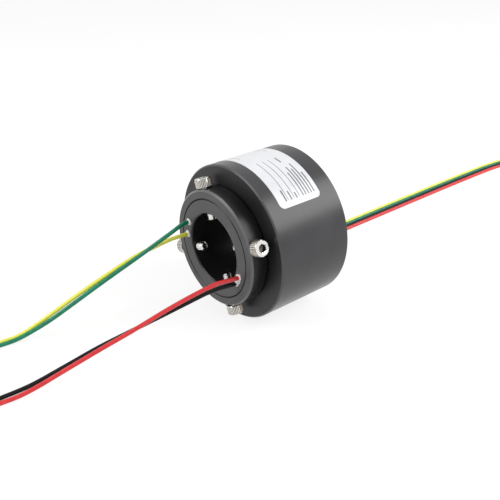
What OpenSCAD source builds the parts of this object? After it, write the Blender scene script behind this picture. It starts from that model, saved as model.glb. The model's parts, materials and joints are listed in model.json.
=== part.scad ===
// Through-bore slip ring with four circuits.
// The axis is Y and the clamp collar faces -Y. The origin is on the axis at mid housing.
// All lengths are in millimetres.

/* [Shaft and rotor] */
// Bore for the machine's shaft
bore_d = 30; // [28:0.5:30.5]
// Extra diameter of the bore's relief under the clamp screws
bore_relief = 0.4; // [0.2:0.1:1]
// Outside diameter of the sleeve where bearings and contact rings sit
sleeve_d = 40; // [40:0.1:41]
// Diameter of the flange at the front of the sleeve
flange_d = 43; // [42.6:0.1:43.4]
// Outside diameter of the clamp collar
collar_d = 51; // [50:0.5:56]
// Length of the clamp collar
collar_length = 7.8; // [7.4:0.1:12]
// Chamfer on the collar's front rim
collar_chamfer = 0.8; // [0.3:0.1:1.2]
// Gap between the turning collar and the housing
collar_gap = 0.7; // [0.4:0.1:1.5]
// Chamfer in the groove between the sleeve and the collar
groove_chamfer = 0.35; // [0.2:0.05:0.5]
// Radial running gap where the sleeve passes the end walls
running_gap = 0.5; // [0.4:0.05:0.7]

/* [Housing] */
// Outside diameter of the housing
housing_d = 68; // [67:0.5:76]
// Inside diameter of the brush chamber
chamber_d = 62; // [61.6:0.1:62.6]
// Thickness of the front wall
front_wall = 3; // [2.5:0.1:5]
// Thickness of the rear cover
cover_thickness = 3; // [2.8:0.1:4]
// Wall left round the rear cover at the rim
rim_wall = 1.3; // [0.9:0.1:1.5]
// Space between the rear bearing and the rear cover's plate
rear_gap = 1; // [0.8:0.1:2]
// Chamfer on the housing's outer edges
housing_chamfer = 0.6; // [0.3:0.1:1]
// Wall of the rear bearing's seat
seat_wall = 1.6; // [1.2:0.1:1.8]

/* [Bearings] */
// Outside diameter of each ball bearing
bearing_od = 52; // [51.6:0.1:52.2]
// Width of each ball bearing
bearing_width = 7; // [6:0.1:8]
// Ball diameter
ball_d = 3.2; // [3:0.05:3.3]
// Number of balls in each bearing
ball_count = 24; // [16:1:30]
// Radial thickness of the ball cage
cage_thickness = 1.1; // [0.9:0.1:1.2]
// Width of the ball cage
cage_width = 4.4; // [4.2:0.1:5.2]

/* [Contacts] */
// Width of each contact ring
ring_width = 2; // [1.6:0.1:2.6]
// Outside diameter of each contact ring
ring_d = 47.2; // [46.8:0.1:47.6]
// Inside diameter of each contact ring
ring_bore = 42; // [41.8:0.1:42.6]
// Width of the brush groove in each contact ring
ring_groove_width = 0.8; // [0.7:0.05:1]
// Depth of the brush groove in each contact ring
ring_groove_depth = 0.8; // [0.5:0.05:1]
// Thickness of the insulating flange between contact rings
flange_rib = 1.6; // [1.2:0.1:2]
// Diameter of the insulating flanges
flange_rib_d = 49.2; // [48.8:0.1:50]
// Diameter of the brush wire
brush_wire_d = 0.5; // [0.4:0.05:0.6]
// Half the spacing of each brush wire's two legs
brush_leg = 5.5; // [5:0.1:6.5]

/* [Clamp screws] */
// Diameter of the clamp screws
screw_d = 4; // [3:0.1:4.2]
// Diameter of the clamp screws' heads
screw_head_d = 7.8; // [6.5:0.1:8]
// Height of the clamp screws' heads
screw_head_h = 2.4; // [2:0.1:3]
// Length of the clamp screws under the head
screw_length = 14; // [12:0.5:15]
// Shank that shows between the collar and the head
screw_stand_off = 1.7; // [0:0.1:3]
// Distance of the clamp screws behind the front face
screw_setback = 3.4; // [3.2:0.1:3.6]
// Angle of the first clamp screw
screw_angle = 21.5; // [15:0.5:30]

/* [Small fasteners] */
// Diameter of the small countersunk screws
small_screw_d = 2; // [1.6:0.1:2.2]
// Length of the small countersunk screws
small_screw_length = 6.5; // [5:0.5:7]

/* [Leads] */
// Diameter of each lead over its insulation
lead_d = 1.8; // [1.4:0.1:1.9]
// Radius on which the leads leave the rotor
rotor_lead_r = 18; // [17.9:0.05:18.1]
// Diameter of the sealed pockets in the front face
pocket_d = 3; // [2.6:0.1:3.2]
// Depth of the sealant in those pockets
pocket_depth = 6; // [4:0.5:8]
// Diameter of the wire holes drilled behind the pockets
wire_hole_d = 2.1; // [2:0.05:2.2]
// Radius on which the leads leave the rear cover
stator_lead_r = 29.6; // [29.4:0.1:29.8]
// Middle angle of the lead slot in the rear cover
stator_lead_angle = 211; // [206:1:214]
// Angle between neighbouring leads in the rear cover
stator_lead_step = 4.2; // [4.1:0.05:4.5]
// Height by which the sealant stands out of its slots
seal_proud = 0.3; // [0.1:0.05:0.5]

/* [Label] */
// Length of the label round the housing
label_length = 50; // [30:1:60]
// Width of the label along the housing
label_width = 21.5; // [12:0.5:26]
// Corner radius of the label
label_corner = 2.5; // [1:0.1:4]
// Thickness of the label
label_thickness = 0.12; // [0.08:0.01:0.2]
// Angle of the label's lower edge
label_angle = 42; // [20:1:60]
// Distance of the label's front edge behind the housing's front
label_setback = 6.6; // [4:0.1:8]

/* [Hidden] */
$fn = 96;
circuits = 4;
fit_gap = 0.02;
wire_gap = 0.05;

// stations along the axis
stack_length = circuits * ring_width + (circuits + 1) * flange_rib;
housing_length = front_wall + 2 * bearing_width + stack_length + rear_gap + cover_thickness;
y_front = -housing_length / 2;
y_rear = housing_length / 2;
y_face = y_front - collar_gap - collar_length;
y_bearing_1 = y_front + front_wall;
y_stack = y_bearing_1 + bearing_width;
y_bearing_2 = y_stack + stack_length;
y_clip = y_bearing_2 + bearing_width;
y_cover = y_rear - cover_thickness;
clip_thickness = 1.2;
clip_depth = 0.9;
clip_radial = 3.2;
y_clip_end = y_clip + clip_thickness;
y_screw = y_face + screw_setback;
relief_length = 9;
y_relief = y_face + relief_length;

// radii
bore_r = bore_d / 2;
relief_r = bore_r + bore_relief / 2;
sleeve_r = sleeve_d / 2;
flange_r = flange_d / 2;
collar_r = collar_d / 2;
housing_r = housing_d / 2;
chamber_r = chamber_d / 2;
bearing_r = bearing_od / 2;
pitch_r = (sleeve_r + bearing_r) / 2;
race_gap = 1.8;
cage_play = 0.1;
cover_r = housing_r - rim_wall;
cover_clearance = 0.1;
seat_r = bearing_r + seat_wall;
lip_r = bearing_r - 2.2;
edge = 0.5;

// rotor leads: angles, and the wired ring of each
angle_green = 160;
angle_yellow = 180;
angle_red = -19;
angle_black = -31;
pocket_web_depth = 4;

// rear cover fixings
cover_screw_angles = [60, 180, 300];
cover_screw_r = chamber_r - 1.4;
lug_r = 2.6;
lug_length = 6;
lug_relief = 0.3;
head_ratio = 1.85;

// brush block
block_half = 9;
foot_half = 6;
foot_gap = 0.3;
block_inner = flange_rib_d / 2 + 1.4;
block_thickness = 3.3;
foot_inner = seat_r + foot_gap;
foot_outer = foot_inner + 2.3;
block_start = y_stack + 0.9;
block_end = y_bearing_2 - 1.1;
block_screw_x = 3.5;
block_screw_z = (foot_inner + foot_outer) / 2;
brush_r = ring_d / 2 - ring_groove_depth + brush_wire_d / 2 + wire_gap;
brush_z = block_inner - 0.6;
brush_depth = block_inner + 2.4;
brush_over = 3;
brush_reach = sqrt(brush_leg * brush_leg + brush_z * brush_z);
brush_contact = atan2(-brush_z, brush_leg) + acos(brush_r / brush_reach);

function ring_start(i) = y_stack + flange_rib + i * (ring_width + flange_rib);
function ring_middle(i) = ring_start(i) + ring_width / 2;

// placing helpers
module along_axis() {
    rotate([-90, 0, 0]) children();
}
module at_angle(a) {
    rotate([0, -a, 0]) children();
}
module turned(profile) {
    along_axis() rotate_extrude() polygon(profile);
}
module tube_part(r_in, r_out, y0, y1) {
    turned([[r_in, y0], [r_out, y0], [r_out, y1], [r_in, y1]]);
}
module radial(r0, r1, d) {
    translate([r0, 0, 0]) rotate([0, 90, 0]) cylinder(h = r1 - r0, d = d);
}
module axial(d, y0, y1) {
    translate([0, y0, 0]) along_axis() cylinder(h = y1 - y0, d = d);
}
// a slot that follows a circle about the axis, with flat ends
module arc_slot(r, width, a0, a1, y0, y1) {
    at_angle(a1)
        along_axis()
            rotate_extrude(angle = a1 - a0)
                translate([r - width / 2, y0])
                    square([width, y1 - y0]);
}
// a straight piece of round wire between two points in one cross-section
module wire_leg(a, b, d) {
    v = b - a;
    translate(a)
        rotate([0, atan2(v.x, v.z), 0])
            cylinder(h = norm(v), d = d, $fn = 24);
    translate(b) sphere(d = d, $fn = 24);
}

// ---- stator ----
module housing() {
    color([0.09, 0.09, 0.10])
    difference() {
        union() {
            turned([
                [flange_r + running_gap, y_front],
                [housing_r - housing_chamfer, y_front],
                [housing_r, y_front + housing_chamfer],
                [housing_r, y_rear - housing_chamfer],
                [housing_r - housing_chamfer, y_rear],
                [cover_r, y_rear],
                [cover_r, y_cover],
                [chamber_r, y_cover],
                [chamber_r, y_stack],
                [bearing_r, y_stack],
                [bearing_r, y_bearing_1],
                [flange_r + running_gap, y_bearing_1]
            ]);
            for (a = cover_screw_angles) housing_lug(a);
        }
        for (a = cover_screw_angles)
            at_angle(a)
                translate([cover_screw_r, 0, 0])
                    axial(small_screw_d, y_cover - lug_length + 1, y_cover + 0.01);
    }
}
module housing_lug(a) {
    intersection() {
        difference() {
            at_angle(a)
                translate([cover_screw_r, 0, 0])
                    axial(2 * lug_r, y_cover - lug_length, y_cover - lug_relief);
            axial(2 * (seat_r + 0.2), y_cover - lug_length - 1, y_cover + 1);
        }
        axial(2 * (chamber_r + 0.8), y_cover - lug_length - 1, y_cover + 1);
    }
}
module rear_cover() {
    color([0.10, 0.10, 0.11])
    difference() {
        turned([
            [sleeve_r + running_gap, y_cover + 0.7],
            [lip_r, y_cover + 0.7],
            [lip_r, y_clip],
            [bearing_r + fit_gap, y_clip],
            [bearing_r + fit_gap, y_bearing_2 + 0.2],
            [seat_r, y_bearing_2 + 0.2],
            [seat_r, y_cover],
            [cover_r - cover_clearance, y_cover],
            [cover_r - cover_clearance, y_rear - 0.2],
            [cover_r - cover_clearance - 0.2, y_rear],
            [sleeve_r + running_gap, y_rear]
        ]);
        arc_slot(stator_lead_r, lead_d + 0.8,
            stator_lead_angle - 1.5 * stator_lead_step - 3.5,
            stator_lead_angle + 1.5 * stator_lead_step + 3.5,
            y_cover - 1, y_rear + 1);
        for (a = cover_screw_angles)
            at_angle(a) translate([cover_screw_r, 0, 0]) countersink(0.2);
        for (s = [-1, 1])
            translate([s * block_screw_x, 0, -block_screw_z]) countersink(0.2);
    }
}
// hole and cone for a countersunk screw that enters from the rear
module countersink(clearance) {
    axial(small_screw_d + clearance, y_cover - 1, y_rear + 0.01);
    depth = small_screw_d * (head_ratio - 1) / 2;
    translate([0, y_rear - depth, 0])
        along_axis()
            cylinder(h = depth + 0.01,
                d1 = small_screw_d + clearance,
                d2 = small_screw_d * head_ratio + clearance);
}
module small_screw() {
    depth = small_screw_d * (head_ratio - 1) / 2;
    y_head = y_rear - 0.08;
    difference() {
        turned([
            [0, y_head - small_screw_length],
            [small_screw_d / 2 - 0.3, y_head - small_screw_length],
            [small_screw_d / 2 - 0.05, y_head - small_screw_length + 0.25],
            [small_screw_d / 2 - 0.05, y_head - depth],
            [small_screw_d * head_ratio / 2 - 0.05, y_head],
            [0, y_head]
        ]);
        cross_recess(small_screw_d * 0.95, small_screw_d * 0.24, 0.8, y_head);
    }
}
// cross recess cut from y inwards, in a screw whose axis is Y
module cross_recess(span, width, depth, y) {
    for (a = [0, 90])
        rotate([0, a + 45, 0])
            translate([-span / 2, y - depth, -width / 2])
                cube([span, depth + 1, width]);
    translate([0, y - depth - width / 2, 0])
        along_axis()
            cylinder(h = depth, d1 = width * 0.6, d2 = width * 2.2);
}
module rear_cover_screws() {
    color([0.75, 0.75, 0.76])
    for (a = cover_screw_angles)
        at_angle(a) translate([cover_screw_r, 0, 0]) small_screw();
}
module label() {
    a0 = label_angle;
    a1 = label_angle + label_length / housing_r * 180 / PI;
    y0 = y_front + label_setback;
    y1 = y0 + label_width;
    r0 = housing_r + 0.01;
    color([0.93, 0.94, 0.95])
    difference() {
        at_angle(a1)
            along_axis()
                rotate_extrude(angle = a1 - a0)
                    translate([r0, y0])
                        square([label_thickness, y1 - y0]);
        label_corner_cut(a0, y0, 1, 1);
        label_corner_cut(a0, y1, 1, -1);
        label_corner_cut(a1, y0, -1, 1);
        label_corner_cut(a1, y1, -1, -1);
    }
}
// what a round corner leaves off, cut radially through the label
module label_corner_cut(a, y, along_arc, along_y) {
    inset = label_corner - 0.06;
    at_angle(a)
        translate([housing_r - 2, y, 0])
            rotate([90, 0, 90])
                linear_extrude(height = 4)
                    scale([along_y, along_arc])
                        difference() {
                            translate([-1, -1]) square(inset + 1);
                            translate([inset, inset]) circle(r = label_corner);
                        }
}
module stator_lead_seal() {
    color([0.9, 0.9, 0.88])
    arc_slot(stator_lead_r, lead_d + 0.8 - 0.04,
        stator_lead_angle - 1.5 * stator_lead_step - 3.5,
        stator_lead_angle + 1.5 * stator_lead_step + 3.5,
        y_cover - 1, y_rear + seal_proud);
}

// ---- ball bearings ----
module outer_race(y) {
    color([0.72, 0.73, 0.75])
    difference() {
        tube_part(pitch_r + race_gap / 2, bearing_r - fit_gap, y + fit_gap, y + bearing_width - fit_gap);
        ball_groove(y);
    }
}
module inner_race(y) {
    color([0.72, 0.73, 0.75])
    difference() {
        tube_part(sleeve_r + fit_gap, pitch_r - race_gap / 2, y + fit_gap, y + bearing_width - fit_gap);
        ball_groove(y);
    }
}
module ball_groove(y) {
    along_axis()
        rotate_extrude()
            translate([pitch_r, y + bearing_width / 2])
                circle(d = ball_d + 2 * wire_gap);
}
module balls(y) {
    for (i = [0 : ball_count - 1])
        at_angle(i * 360 / ball_count)
            translate([pitch_r, y + bearing_width / 2, 0])
                sphere(d = ball_d, $fn = 24);
}
module cage(y) {
    color([0.55, 0.42, 0.22])
    difference() {
        tube_part(pitch_r - cage_thickness / 2, pitch_r + cage_thickness / 2,
            y + (bearing_width - cage_width) / 2, y + (bearing_width + cage_width) / 2);
        for (i = [0 : ball_count - 1])
            translate([0, y + bearing_width / 2, 0])
                at_angle(i * 360 / ball_count)
                    radial(pitch_r - cage_thickness, pitch_r + cage_thickness, ball_d + 2 * cage_play);
    }
}
module front_outer_race() { outer_race(y_bearing_1); }
module rear_outer_race() { outer_race(y_bearing_2); }
module front_inner_race() { inner_race(y_bearing_1); }
module rear_inner_race() { inner_race(y_bearing_2); }
module front_cage() { cage(y_bearing_1); }
module rear_cage() { cage(y_bearing_2); }
module front_balls() { color([0.85, 0.85, 0.87]) balls(y_bearing_1); }
module rear_balls() { color([0.85, 0.85, 0.87]) balls(y_bearing_2); }

// ---- brushes ----
module brush_block() {
    color([0.13, 0.13, 0.14])
    difference() {
        union() {
            translate([-block_half, block_start, -block_inner - block_thickness])
                cube([2 * block_half, block_end - block_start, block_thickness]);
            translate([-foot_half, block_end - 1, -foot_outer])
                cube([2 * foot_half, y_cover - block_end + 1, foot_outer - foot_inner]);
        }
        for (i = [0 : circuits - 1]) brush_path(i, brush_wire_d + 2 * wire_gap, 1);
        for (s = [-1, 1])
            translate([s * block_screw_x, 0, -block_screw_z])
                axial(small_screw_d, y_cover - 4.5, y_cover + 1);
    }
}
// embedded part of a brush wire: two legs and the bridge between them
module brush_path(i, d, over) {
    y = ring_middle(i);
    for (s = [-1, 1])
        wire_leg([s * brush_leg, y, -brush_z + over], [s * brush_leg, y, -brush_depth], d);
    wire_leg([-brush_leg, y, -brush_depth], [brush_leg, y, -brush_depth], d);
}
module brush(i) {
    y = ring_middle(i);
    tangent = [-sin(brush_contact), 0, cos(brush_contact)];
    touch = [brush_r * cos(brush_contact), y, brush_r * sin(brush_contact)];
    tip = touch + brush_over * tangent;
    color([0.86, 0.68, 0.26]) {
        brush_path(i, brush_wire_d, 0);
        for (s = [-1, 1]) {
            translate([s * brush_leg, y, -brush_z]) sphere(d = brush_wire_d, $fn = 24);
            wire_leg([s * brush_leg, y, -brush_z], [s * tip.x, y, tip.z], brush_wire_d);
        }
    }
}
module brush_1() { brush(0); }
module brush_2() { brush(1); }
module brush_3() { brush(2); }
module brush_4() { brush(3); }
module brush_block_screws() {
    color([0.75, 0.75, 0.76])
    for (s = [-1, 1])
        translate([s * block_screw_x, 0, -block_screw_z]) small_screw();
}
// lead inside the housing: in from the seal, then round to the brush block's foot
module stator_wire(i, c) {
    a = stator_lead_angle + (i - 1.5) * stator_lead_step;
    y = y_cover - 2.2 - (3 - i) * (lead_d + 0.15);
    a_end = 180 + acos((foot_half + 0.3) / stator_lead_r);
    color(c) {
        at_angle(a) translate([stator_lead_r, 0, 0]) axial(lead_d - 0.1, y, y_cover - 1);
        at_angle(a_end)
            along_axis()
                rotate_extrude(angle = a_end - a + 1.8)
                    translate([stator_lead_r, y])
                        circle(d = lead_d);
    }
}
module stator_wire_yellow() { stator_wire(0, [0.95, 0.85, 0.15]); }
module stator_wire_green() { stator_wire(1, [0.05, 0.45, 0.25]); }
module stator_wire_black() { stator_wire(2, [0.05, 0.05, 0.05]); }
module stator_wire_red() { stator_wire(3, [0.8, 0.08, 0.08]); }

// ---- rotor ----
module rotor_sleeve() {
    color([0.20, 0.20, 0.21])
    difference() {
        turned([
            [relief_r + edge, y_face],
            [flange_r - groove_chamfer, y_face],
            [flange_r, y_face + groove_chamfer],
            [flange_r, y_bearing_1],
            [sleeve_r, y_bearing_1],
            [sleeve_r, y_clip],
            [sleeve_r - clip_depth, y_clip],
            [sleeve_r - clip_depth, y_clip_end + 0.05],
            [sleeve_r, y_clip_end + 0.05],
            [sleeve_r, y_rear - edge],
            [sleeve_r - edge, y_rear],
            [bore_r + edge, y_rear],
            [bore_r, y_rear - edge],
            [bore_r, y_relief],
            [relief_r, y_relief],
            [relief_r, y_face + edge]
        ]);
        for (i = [0 : 3])
            translate([0, y_screw, 0])
                at_angle(screw_angle + 90 * i) radial(bore_r - 3, flange_r + 1, screw_d);
        left_pockets(pocket_d, y_face - 1, 0);
        right_pocket(pocket_d, y_face - 1, 0);
        for (i = [0 : circuits - 1])
            at_angle(wired_angle(i)) {
                translate([rotor_lead_r, 0, 0]) axial(wire_hole_d, y_face + 1, ring_middle(i) + 1.2);
                translate([0, ring_middle(i), 0]) radial(rotor_lead_r, sleeve_r + 1, 1.2);
            }
    }
}
module lead_pocket(a, d, y0, y1) {
    at_angle(a) translate([rotor_lead_r, 0, 0]) axial(d, y0, y1);
}
module left_pockets(d, y0, short) {
    for (a = [angle_green, angle_yellow]) lead_pocket(a, d, y0, y_face + pocket_depth - short);
}
// two pockets and a shallower one between them that joins them into a slot
module right_pocket(d, y0, short) {
    for (a = [angle_black, angle_red]) lead_pocket(a, d, y0, y_face + pocket_depth - short);
    lead_pocket((angle_black + angle_red) / 2, d, y0, y_face + pocket_web_depth - short);
}
module clamp_collar() {
    color([0.18, 0.18, 0.19])
    difference() {
        turned([
            [flange_r + fit_gap + groove_chamfer, y_face],
            [collar_r - collar_chamfer, y_face],
            [collar_r, y_face + collar_chamfer],
            [collar_r, y_face + collar_length - 0.4],
            [collar_r - 0.4, y_face + collar_length],
            [flange_r + fit_gap, y_face + collar_length],
            [flange_r + fit_gap, y_face + groove_chamfer]
        ]);
        for (i = [0 : 3])
            translate([0, y_screw, 0])
                at_angle(screw_angle + 90 * i) radial(flange_r - 1, collar_r + 1, screw_d);
    }
}
// pan head screw, turned about its own axis, head outwards along +X
module clamp_screw(i) {
    r_under = collar_r + screw_stand_off;
    r_tip = r_under - screw_length;
    thread_r = screw_d / 2 - 0.04;
    head_r = screw_head_d / 2;
    crown = screw_head_h * 0.62;
    side = screw_head_h - crown;
    crown_steps = 8;
    profile = concat(
        [[0, r_tip], [thread_r - 0.6, r_tip], [thread_r, r_tip + 0.6], [thread_r, r_under], [head_r, r_under]],
        [for (k = [0 : crown_steps])
            [head_r * cos(90 * k / crown_steps * 0.62) ,
             r_under + side + crown * sin(90 * k / crown_steps * 0.62) / sin(90 * 0.62)]],
        [[0, r_under + screw_head_h]]
    );
    color([0.80, 0.80, 0.81])
    translate([0, y_screw, 0])
        at_angle(screw_angle + 90 * i)
            rotate([0, 0, -90])
                difference() {
                    turned(profile);
                    cross_recess(screw_d * 1.05, screw_d * 0.25, 1.5, r_under + screw_head_h);
                }
}
module clamp_screw_1() { clamp_screw(0); }
module clamp_screw_2() { clamp_screw(1); }
module clamp_screw_3() { clamp_screw(2); }
module clamp_screw_4() { clamp_screw(3); }
module rotor_seal_left() {
    color([0.93, 0.93, 0.91]) left_pockets(pocket_d - 0.04, y_face - seal_proud, fit_gap);
}
module rotor_seal_right() {
    color([0.93, 0.93, 0.91]) right_pocket(pocket_d - 0.04, y_face - seal_proud, fit_gap);
}
module retaining_ring() {
    groove_r = sleeve_r - clip_depth + 0.04;
    outer = groove_r + clip_radial;
    color([0.3, 0.3, 0.32])
    translate([0, y_clip, 0])
        along_axis()
            linear_extrude(height = clip_thickness)
                difference() {
                    union() {
                        translate([0.3, 0]) circle(r = outer - 0.3);
                        for (s = [-1, 1])
                            translate([-groove_r - 1.6, s * 3.2]) circle(r = 1.7);
                    }
                    circle(r = groove_r);
                    translate([-outer - 3, -1.6]) square([10, 3.2]);
                    for (s = [-1, 1])
                        translate([-groove_r - 1.7, s * 3.3]) circle(r = 0.75);
                }
}
module insulator(i) {
    y = y_stack + i * (ring_width + flange_rib);
    inner = sleeve_r + wire_gap;
    color([0.80, 0.76, 0.66])
    difference() {
        turned(i < circuits
            ? [[inner, y], [flange_rib_d / 2, y], [flange_rib_d / 2, y + flange_rib],
               [ring_bore / 2 - fit_gap, y + flange_rib],
               [ring_bore / 2 - fit_gap, y + flange_rib + ring_width], [inner, y + flange_rib + ring_width]]
            : [[inner, y], [flange_rib_d / 2, y], [flange_rib_d / 2, y + flange_rib], [inner, y + flange_rib]]);
        if (i < circuits)
            at_angle(wired_angle(i)) translate([0, ring_middle(i), 0]) radial(inner - 1, inner + 3, 1.1);
    }
}
function wired_angle(i) = [angle_green, angle_yellow, angle_red, angle_black][i];
module insulator_1() { insulator(0); }
module insulator_2() { insulator(1); }
module insulator_3() { insulator(2); }
module insulator_4() { insulator(3); }
module insulator_5() { insulator(4); }
module contact_ring(i) {
    y = ring_start(i);
    m = ring_middle(i);
    ro = ring_d / 2;
    color([0.88, 0.70, 0.28])
    turned([
        [ring_bore / 2, y + fit_gap],
        [ro, y + fit_gap],
        [ro, m - ring_groove_width / 2],
        [ro - ring_groove_depth, m - ring_groove_width / 2],
        [ro - ring_groove_depth, m + ring_groove_width / 2],
        [ro, m + ring_groove_width / 2],
        [ro, y + ring_width - fit_gap],
        [ring_bore / 2, y + ring_width - fit_gap]
    ]);
}
module contact_ring_1() { contact_ring(0); }
module contact_ring_2() { contact_ring(1); }
module contact_ring_3() { contact_ring(2); }
module contact_ring_4() { contact_ring(3); }
// lead inside the sleeve: along its channel, then out to its ring
module rotor_wire(i, c) {
    core_d = 1;
    color(c)
    at_angle(wired_angle(i)) {
        translate([rotor_lead_r, 0, 0]) axial(lead_d, y_face + pocket_depth, ring_middle(i));
        translate([rotor_lead_r, ring_middle(i), 0]) sphere(d = lead_d, $fn = 24);
        translate([0, ring_middle(i), 0]) radial(rotor_lead_r, ring_bore / 2 - wire_gap, core_d);
    }
}
module rotor_wire_green() { rotor_wire(0, [0.05, 0.45, 0.25]); }
module rotor_wire_yellow() { rotor_wire(1, [0.95, 0.85, 0.15]); }
module rotor_wire_red() { rotor_wire(2, [0.8, 0.08, 0.08]); }
module rotor_wire_black() { rotor_wire(3, [0.05, 0.05, 0.05]); }

// ---- flying leads ----
lead_step = 4.5;
lead_rest = -33.1;
route_green = [
    [-16.9, -27.3, 6.2], [-16.8, -31, 6], [-17, -35.5, 4.2], [-19, -41.5, 0.5], [-23, -51, -6],
    [-27.5, -66, -14.5], [-31, -78, -21.5], [-34, -89, -27.5], [-37, -100, -32],
    [-38.5, -107, -33.1], [-40.1, -121.2, -33.1]
];
route_yellow = [
    [-18, -27.3, 0], [-18.3, -31, 0], [-20, -36, -1], [-22.5, -43, -3.5], [-25.2, -51, -6.5],
    [-29.5, -66, -14], [-33, -78, -20.5], [-36.3, -89, -27], [-39, -99, -32],
    [-40.5, -106, -33.1], [-42.1, -118.6, -33.1]
];
route_red = [
    [17, -27.3, -5.9], [16.4, -31, -5.9], [15.2, -35.5, -6], [13.2, -43.5, -7.8], [10.2, -56, -11.8],
    [6.5, -72, -17.8], [3.5, -85, -22.3], [0.5, -98, -27], [-2.2, -110, -31.3],
    [-4, -119, -33.1], [-5.9, -136.6, -33.1]
];
route_black = [
    [15.4, -27.3, -9.3], [15, -31, -9.3], [13.8, -35.5, -9.6], [12, -40, -10.8], [8.2, -55, -15],
    [4.2, -71, -19.4], [1, -84, -23], [-2.2, -97, -27.5], [-5.2, -109, -31.6],
    [-7, -118, -33.1], [-7.9, -139.2, -33.1]
];
route_stator_yellow = [
    [-26.9, 18.8, -12.7], [-26.9, 24, -13], [-27, 32, -15.5], [-27, 44, -21.5], [-26.8, 58, -28.3],
    [-26.5, 70, -32], [-26.3, 80, -33.1], [-26.2, 120, -33.1], [-26, 170, -33.1],
    [-25.2, 210, -33.1], [-22.95, 234.6, -33.1]
];
route_stator_green = [
    [-25.9, 18.8, -14.3], [-25.9, 24, -14.7], [-25.7, 32, -17.2], [-25.2, 44, -22.8], [-24.8, 58, -29],
    [-24.5, 70, -32.5], [-24.3, 78, -33.1], [-24.2, 120, -33.1], [-24, 170, -33.1],
    [-23.2, 210, -33.1], [-21, 232, -33.1]
];
route_stator_black = [
    [-24.8, 18.8, -16.2], [-24.8, 24, -16.6], [-24.3, 32, -19], [-23.4, 44, -24.3], [-22.8, 58, -29.8],
    [-22.4, 70, -32.9], [-22.3, 76, -33.1], [-22.2, 120, -33.1], [-22, 170, -33.1],
    [-21.2, 210, -33.1], [-19.05, 230.2, -33.1]
];
route_stator_red = [
    [-23.5, 18.8, -17.9], [-23.5, 24, -18.3], [-22.8, 32, -20.7], [-21.6, 44, -25.7], [-20.8, 58, -30.6],
    [-20.4, 69, -33], [-20.3, 74, -33.1], [-20.2, 120, -33.1], [-20, 170, -33.1],
    [-19.2, 210, -33.1], [-17.1, 228.9, -33.1]
];

// a smooth curve through the route's points that never dips under the resting height
function blend_point(a, b, c, d, t) =
    0.5 * (2 * b + (c - a) * t + (2 * a - 5 * b + 4 * c - d) * t * t + (3 * b - a - 3 * c + d) * t * t * t);
function on_table(p) = [p.x, p.y, max(p.z, lead_rest)];
function path(p) = concat(
    [for (i = [0 : len(p) - 2])
        let (n = ceil(norm(p[i + 1] - p[i]) / lead_step),
             before = i > 0 ? p[i - 1] : 2 * p[0] - p[1],
             after = i < len(p) - 2 ? p[i + 2] : 2 * p[i + 1] - p[i])
        for (k = [0 : n - 1]) on_table(blend_point(before, p[i], p[i + 1], after, k / n))],
    [p[len(p) - 1]]);
function unit(v) = v / norm(v);
function heading(c, i) = i == 0 || i == len(c) - 1
    ? [0, sign(c[len(c) - 1].y - c[0].y), 0]
    : unit(c[i + 1] - c[i - 1]);
module lead(route, c) {
    line = path(route);
    sides = 8;
    n = len(line);
    rings = [for (i = [0 : n - 1])
        let (t = heading(line, i), s = unit(cross(t, [0, 0, 1])), u = cross(s, t))
        for (k = [0 : sides - 1])
            line[i] + lead_d / 2 * (cos(360 * (k + 0.5) / sides) * s + sin(360 * (k + 0.5) / sides) * u)];
    faces = concat(
        [[for (k = [0 : sides - 1]) k]],
        [for (i = [0 : n - 2], k = [0 : sides - 1])
            [i * sides + k, (i + 1) * sides + k,
             (i + 1) * sides + (k + 1) % sides, i * sides + (k + 1) % sides]],
        [[for (k = [sides - 1 : -1 : 0]) (n - 1) * sides + k]]);
    color(c) polyhedron(points = rings, faces = faces, convexity = 6);
}
module rotor_lead_green() { lead(route_green, [0.05, 0.45, 0.25]); }
module rotor_lead_yellow() { lead(route_yellow, [0.95, 0.85, 0.15]); }
module rotor_lead_red() { lead(route_red, [0.8, 0.08, 0.08]); }
module rotor_lead_black() { lead(route_black, [0.05, 0.05, 0.05]); }
module stator_lead_yellow() { lead(route_stator_yellow, [0.95, 0.85, 0.15]); }
module stator_lead_green() { lead(route_stator_green, [0.05, 0.45, 0.25]); }
module stator_lead_black() { lead(route_stator_black, [0.05, 0.05, 0.05]); }
module stator_lead_red() { lead(route_stator_red, [0.8, 0.08, 0.08]); }

// the rest of the leads' length, as the outer shape of flat coils
coil_left = [-52, -128];
coil_right = [4, -146];
coil_rear = [-9, 242];
coil_middle = 10.9;
coil_turn = 2;
module coil(centre, middle, across, height) {
    translate([centre.x, centre.y, lead_rest - lead_d / 2])
        rotate_extrude()
            translate([middle - across * coil_turn / 2, 0])
                square([across * coil_turn - 0.2, height]);
}
module rotor_coil_left() {
    color([0.5, 0.65, 0.2]) coil(coil_left, coil_middle, 2, 8);
}
module rotor_coil_right() {
    color([0.4, 0.1, 0.1]) coil(coil_right, coil_middle, 2, 7.6);
}
module stator_coil() {
    color([0.4, 0.35, 0.2]) coil(coil_rear, 11.1, 4, 4.8);
}

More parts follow.
